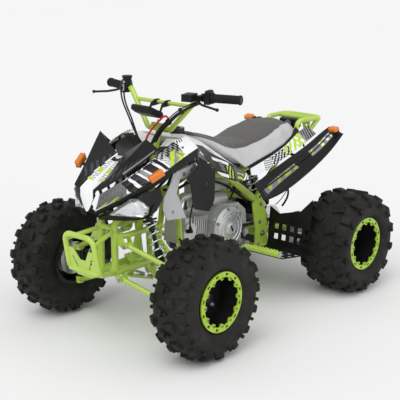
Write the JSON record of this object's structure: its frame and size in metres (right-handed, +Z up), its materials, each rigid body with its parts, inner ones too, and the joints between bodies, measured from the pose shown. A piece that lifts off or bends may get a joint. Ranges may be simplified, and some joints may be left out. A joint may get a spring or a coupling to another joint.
{
  "type": "sport quad bike",
  "caption": "Sport quad bike: tube frame, double front arms, swing arm with solid rear axle, chain drive, knobbly tyres, handlebar, long seat and angular body panels.",
  "frame": {"origin": "on the floor, under the middle of the vehicle's bounding box", "axes": "+X forward, +Y to the rider's left, +Z up"},
  "size_m": [1.5362, 0.9838, 1.0072],
  "materials": {
    "lime_paint": "gloss lime green paint",
    "black_metal": "satin black paint",
    "black_plastic": "semi-gloss black moulding",
    "white_plastic": "gloss white moulding",
    "grey_plastic": "light grey moulding",
    "silver_alloy": "cast, satin",
    "steel": "zinc and chrome",
    "rubber": "matt",
    "tyre": "matt",
    "lamp_clear": "clear lens over a bright reflector",
    "lamp_amber": "amber lens",
    "lamp_red": "red lens",
    "seat_cover": "vinyl, dark top and light sides"
  },
  "bodies": {
    "chassis": {"frame_rails": "lime_paint", "frame_braces": "lime_paint", "seat_frame": "lime_paint", "bumper": "lime_paint", "rack": "lime_paint", "upper_arms": "lime_paint", "lower_arms": "lime_paint", "front_dampers": "black_metal", "front_springs": "steel", "swing_arm": "lime_paint", "rear_damper": "black_metal", "rear_spring": "steel", "chain": "steel", "engine": "silver_alloy", "cylinder_block": "silver_alloy", "carburettor": "silver_alloy", "exhaust": "black_metal", "foot_rests": "lime_paint", "heel_guards": "black_plastic", "pedals": "steel", "hood": "white_plastic", "horns": "black_plastic", "front_sides": "white_plastic", "nose": "black_plastic", "headlamps": "lamp_clear", "turn_lamps": "lamp_amber", "tail_lamp": "lamp_red", "brackets": "black_metal", "tank_cover": "white_plastic", "filler_cap": "black_plastic", "knee_panels": "black_plastic", "guard_plates": "grey_plastic", "rear_cowl": "white_plastic", "seat": "seat_cover", "rear_wings": "black_plastic"},
    "steering": {"handlebar": "lime_paint", "grips": "rubber", "controls": "black_plastic", "display": "black_plastic", "cables": "rubber"},
    "knuckle_l": {"knuckle_left": "black_metal"},
    "knuckle_r": {"knuckle_right": "black_metal"},
    "tie_rod_l": {"tie_rod_left": "steel"},
    "tie_rod_r": {"tie_rod_right": "steel"},
    "front_wheel_l": {"tyre_left": "tyre", "rim_left": "black_metal", "bead_ring_left": "lime_paint", "hub_left": "steel"},
    "front_wheel_r": {"tyre_right": "tyre", "rim_right": "black_metal", "bead_ring_right": "lime_paint", "hub_right": "steel"},
    "rear_wheels": {"rear_tyres": "tyre", "rear_rims": "black_metal", "rear_bead_rings": "lime_paint", "rear_axle": "steel", "sprocket": "steel", "rear_disc": "steel"}
  },
  "joints": [
    {"name": "steering_turn", "type": "hinge", "parent": "chassis", "child": "steering", "pos_m": [0.3065, 0, 0.805], "axis": [-0.3002, 0, 0.9539], "range_deg": [-28, 28]},
    {"name": "knuckle_l_turn", "type": "hinge", "parent": "chassis", "child": "knuckle_l", "pos_m": [0.4815, 0.304, 0.2415], "axis": [0, 0, 1], "range_deg": [-28.5, 28.5]},
    {"name": "tie_rod_l_turn", "type": "hinge", "parent": "steering", "child": "tie_rod_l", "pos_m": [0.39089, 0.022, 0.22044], "axis": [-0.3002, 0, 0.9539], "range_deg": [-36, 36]},
    {"name": "front_l_spin", "type": "hinge", "parent": "knuckle_l", "child": "front_wheel_l", "pos_m": [0.4815, 0.403, 0.2415], "axis": [0, 1, 0], "continuous": true},
    {"name": "knuckle_r_turn", "type": "hinge", "parent": "chassis", "child": "knuckle_r", "pos_m": [0.4815, -0.304, 0.2415], "axis": [0, 0, 1], "range_deg": [-28.5, 28.5]},
    {"name": "tie_rod_r_turn", "type": "hinge", "parent": "steering", "child": "tie_rod_r", "pos_m": [0.39089, -0.022, 0.22044], "axis": [-0.3002, 0, 0.9539], "range_deg": [-36, 36]},
    {"name": "front_r_spin", "type": "hinge", "parent": "knuckle_r", "child": "front_wheel_r", "pos_m": [0.4815, -0.403, 0.2415], "axis": [0, 1, 0], "continuous": true},
    {"name": "rear_spin", "type": "hinge", "parent": "chassis", "child": "rear_wheels", "pos_m": [-0.5385, 0, 0.229], "axis": [0, 1, 0], "continuous": true}
  ],
  "couplings": [
    {"joint": "knuckle_l_turn", "follows": "steering_turn", "ratio": 1},
    {"joint": "knuckle_r_turn", "follows": "steering_turn", "ratio": 1},
    {"joint": "tie_rod_l_turn", "follows": "steering_turn", "ratio": -1.12},
    {"joint": "tie_rod_r_turn", "follows": "steering_turn", "ratio": -1.12}
  ]
}
